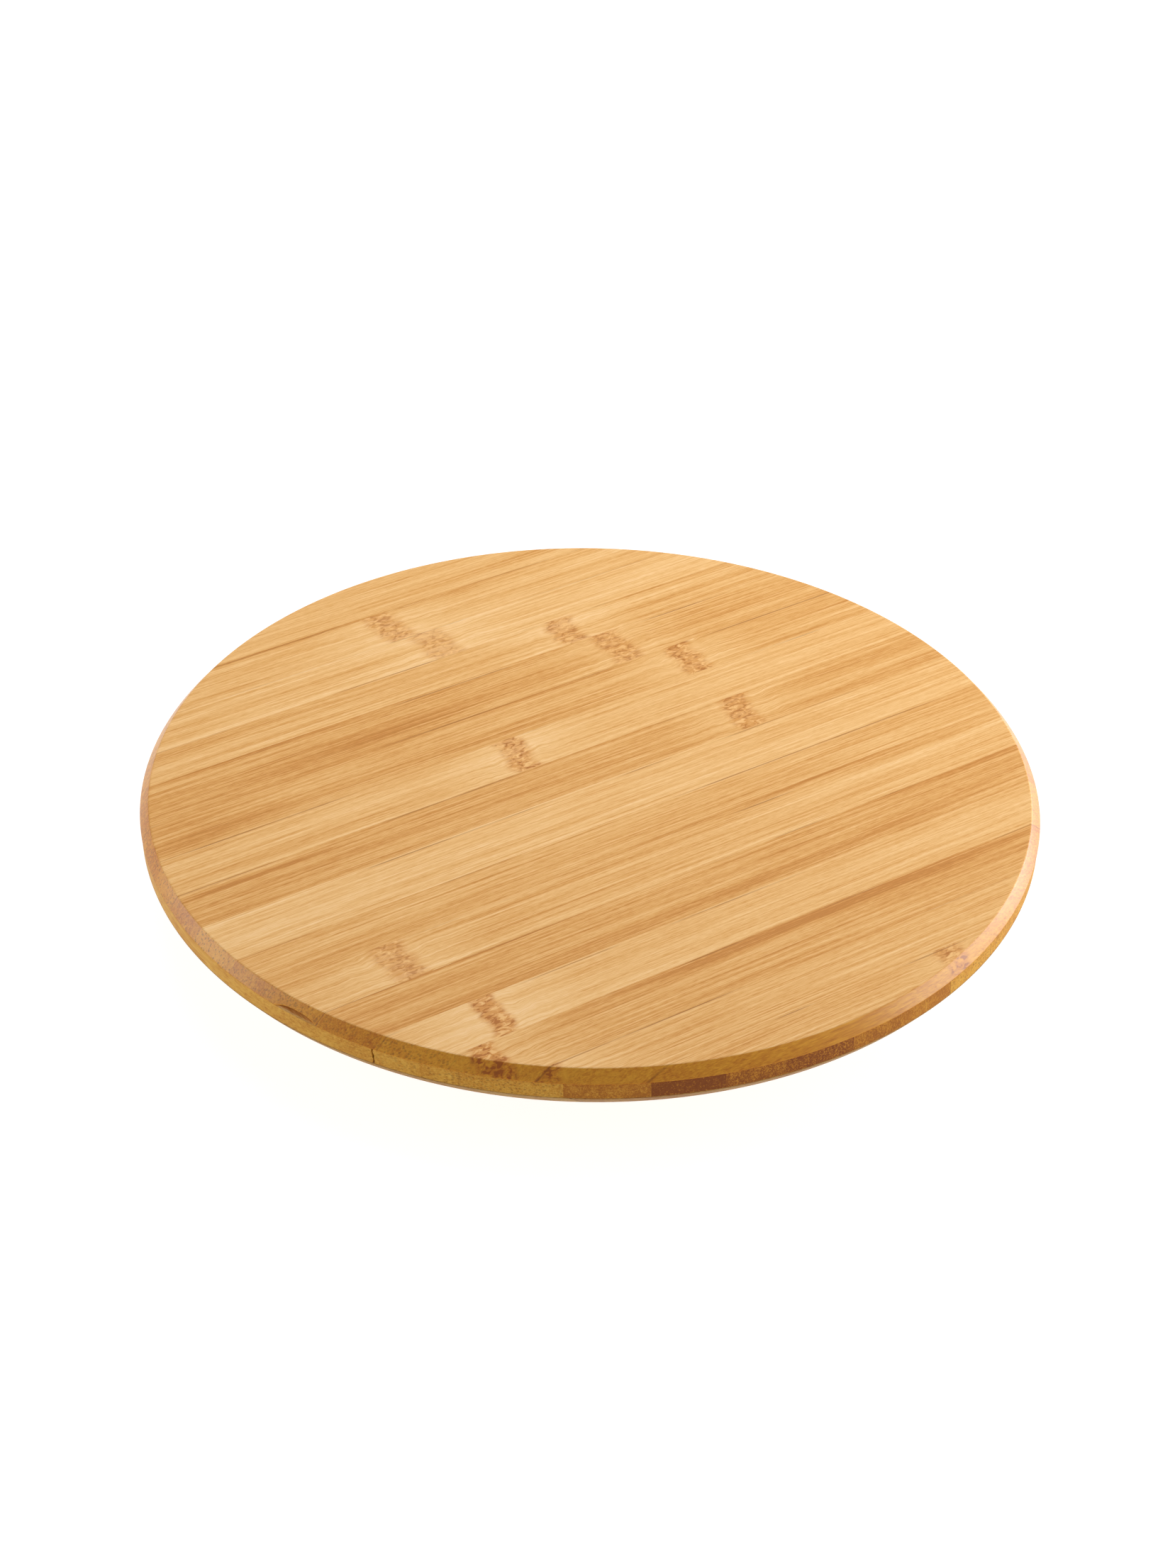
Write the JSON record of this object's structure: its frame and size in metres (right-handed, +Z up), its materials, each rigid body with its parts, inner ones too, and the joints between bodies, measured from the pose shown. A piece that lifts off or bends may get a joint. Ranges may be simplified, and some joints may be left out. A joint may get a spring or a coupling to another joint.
{
  "type": "lazy susan turntable",
  "caption": "Round laminated bamboo board with bevelled edges that spins on an aluminium ring ball bearing, screwed to a smaller round bamboo base on rubber feet.",
  "frame": {"origin": "on the spin axis, on the plane that the feet stand on", "axes": "+Z up along the spin axis; +X and +Y level, with the feet on the diagonals and the base's screw access hole on +X"},
  "size_m": [0.33, 0.33, 0.0365],
  "materials": {
    "face_bamboo": "sanded bamboo strips under a thin satin oil",
    "core_bamboo": "sanded bamboo, end grain and long grain round the rim",
    "base_bamboo": "sanded bamboo strips under a thin satin oil",
    "ring_aluminium": "turned, lightly satin",
    "ball_steel": "ground and polished",
    "zinc_steel": "bright zinc plate",
    "cage_nylon": "moulded, natural white",
    "foot_rubber": "moulded, matt black"
  },
  "bodies": {
    "base": {"base_disc": "base_bamboo", "rubber_foot_1": "foot_rubber", "rubber_foot_2": "foot_rubber", "rubber_foot_3": "foot_rubber", "rubber_foot_4": "foot_rubber", "foot_screw_1": "zinc_steel", "foot_screw_2": "zinc_steel", "foot_screw_3": "zinc_steel", "foot_screw_4": "zinc_steel", "inner_race_ring": "ring_aluminium", "inner_ring_screw_1": "zinc_steel", "inner_ring_screw_2": "zinc_steel", "inner_ring_screw_3": "zinc_steel", "inner_ring_screw_4": "zinc_steel"},
    "turntable": {"top_ply": "face_bamboo", "core_ply": "core_bamboo", "bottom_ply": "face_bamboo", "outer_race_ring": "ring_aluminium", "ball_filler_plug": "zinc_steel", "outer_ring_screw_1": "zinc_steel", "outer_ring_screw_2": "zinc_steel", "outer_ring_screw_3": "zinc_steel", "outer_ring_screw_4": "zinc_steel"},
    "ball_row": {"ball_cage": "cage_nylon", "bearing_ball_01": "ball_steel", "bearing_ball_02": "ball_steel", "bearing_ball_03": "ball_steel", "bearing_ball_04": "ball_steel", "bearing_ball_05": "ball_steel", "bearing_ball_06": "ball_steel", "bearing_ball_07": "ball_steel", "bearing_ball_08": "ball_steel", "bearing_ball_09": "ball_steel", "bearing_ball_10": "ball_steel", "bearing_ball_11": "ball_steel", "bearing_ball_12": "ball_steel", "bearing_ball_13": "ball_steel", "bearing_ball_14": "ball_steel", "bearing_ball_15": "ball_steel", "bearing_ball_16": "ball_steel", "bearing_ball_17": "ball_steel", "bearing_ball_18": "ball_steel", "bearing_ball_19": "ball_steel", "bearing_ball_20": "ball_steel", "bearing_ball_21": "ball_steel", "bearing_ball_22": "ball_steel", "bearing_ball_23": "ball_steel", "bearing_ball_24": "ball_steel", "bearing_ball_25": "ball_steel", "bearing_ball_26": "ball_steel", "bearing_ball_27": "ball_steel", "bearing_ball_28": "ball_steel"}
  },
  "joints": [
    {"name": "table_spin", "type": "hinge", "parent": "base", "child": "turntable", "pos_m": [0, 0, 0.01725], "axis": [0, 0, 1], "continuous": true},
    {"name": "cage_orbit", "type": "hinge", "parent": "base", "child": "ball_row", "pos_m": [0, 0, 0.01725], "axis": [0, 0, 1], "continuous": true}
  ],
  "couplings": [
    {"joint": "cage_orbit", "follows": "table_spin", "ratio": 0.516}
  ]
}
